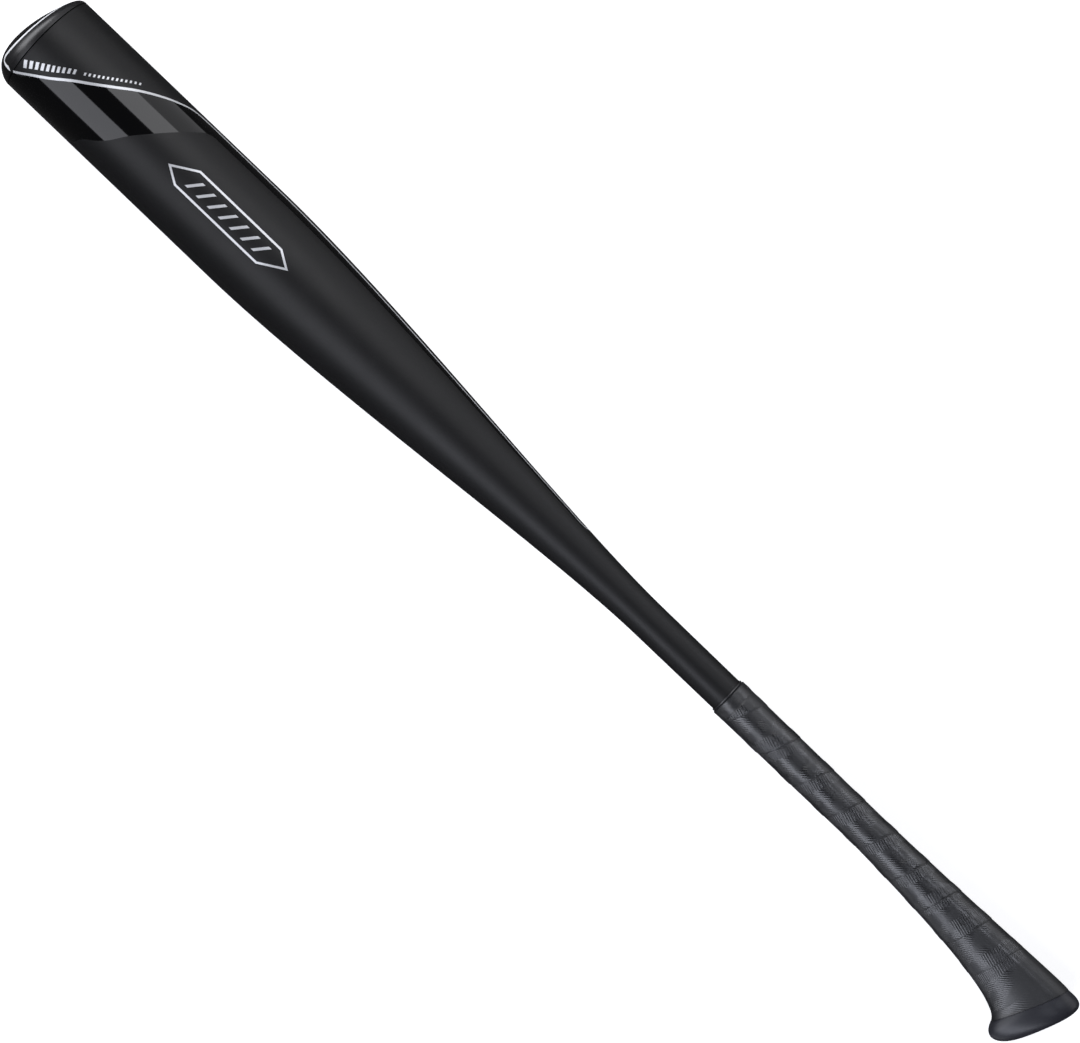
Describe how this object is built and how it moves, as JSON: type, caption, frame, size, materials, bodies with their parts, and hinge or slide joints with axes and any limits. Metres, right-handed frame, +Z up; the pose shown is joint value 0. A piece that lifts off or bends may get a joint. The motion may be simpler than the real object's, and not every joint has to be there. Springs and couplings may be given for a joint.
{
  "type": "baseball bat",
  "caption": "hollow alloy baseball bat with a tapered black body, a slanted domed end cap, a wrapped handle and a flared oval knob",
  "frame": {"origin": "bottom centre of the bat's box, on the ground it lies on", "axes": "+X along the bat from the end cap to the knob, +Z up, and the heel of the flared knob points to -Y. The bat's own axis drops 1.63 degrees from the barrel to the knob, because both rest on the ground"},
  "size_m": [0.8398, 0.07, 0.0707],
  "materials": {
    "shell_paint": "aluminium tube painted satin charcoal, with gloss black bands and a thin silver line",
    "cap_moulding": "moulded composite, gloss black, with a thin silver rim line",
    "bond": "cured urethane adhesive",
    "foam": "closed-cell foam",
    "damper_rubber": "soft moulded rubber",
    "weight_steel": "turned steel",
    "knob_moulding": "satin dark grey moulding",
    "plug_moulding": "matt dark grey moulding",
    "grip_polymer": "dark grey ridged polymer tape with a soft sheen",
    "finishing_tape": "smooth dark vinyl tape"
  },
  "bodies": {
    "root": {"shell": "shell_paint", "end_cap": "cap_moulding", "cap_bond_ring": "bond", "handle_foam_plug": "foam", "handle_damper": "damper_rubber", "balance_weight": "weight_steel", "knob": "knob_moulding", "knob_plug": "plug_moulding", "grip_wrap": "grip_polymer", "grip_end_tape": "finishing_tape"}
  },
  "joints": []
}
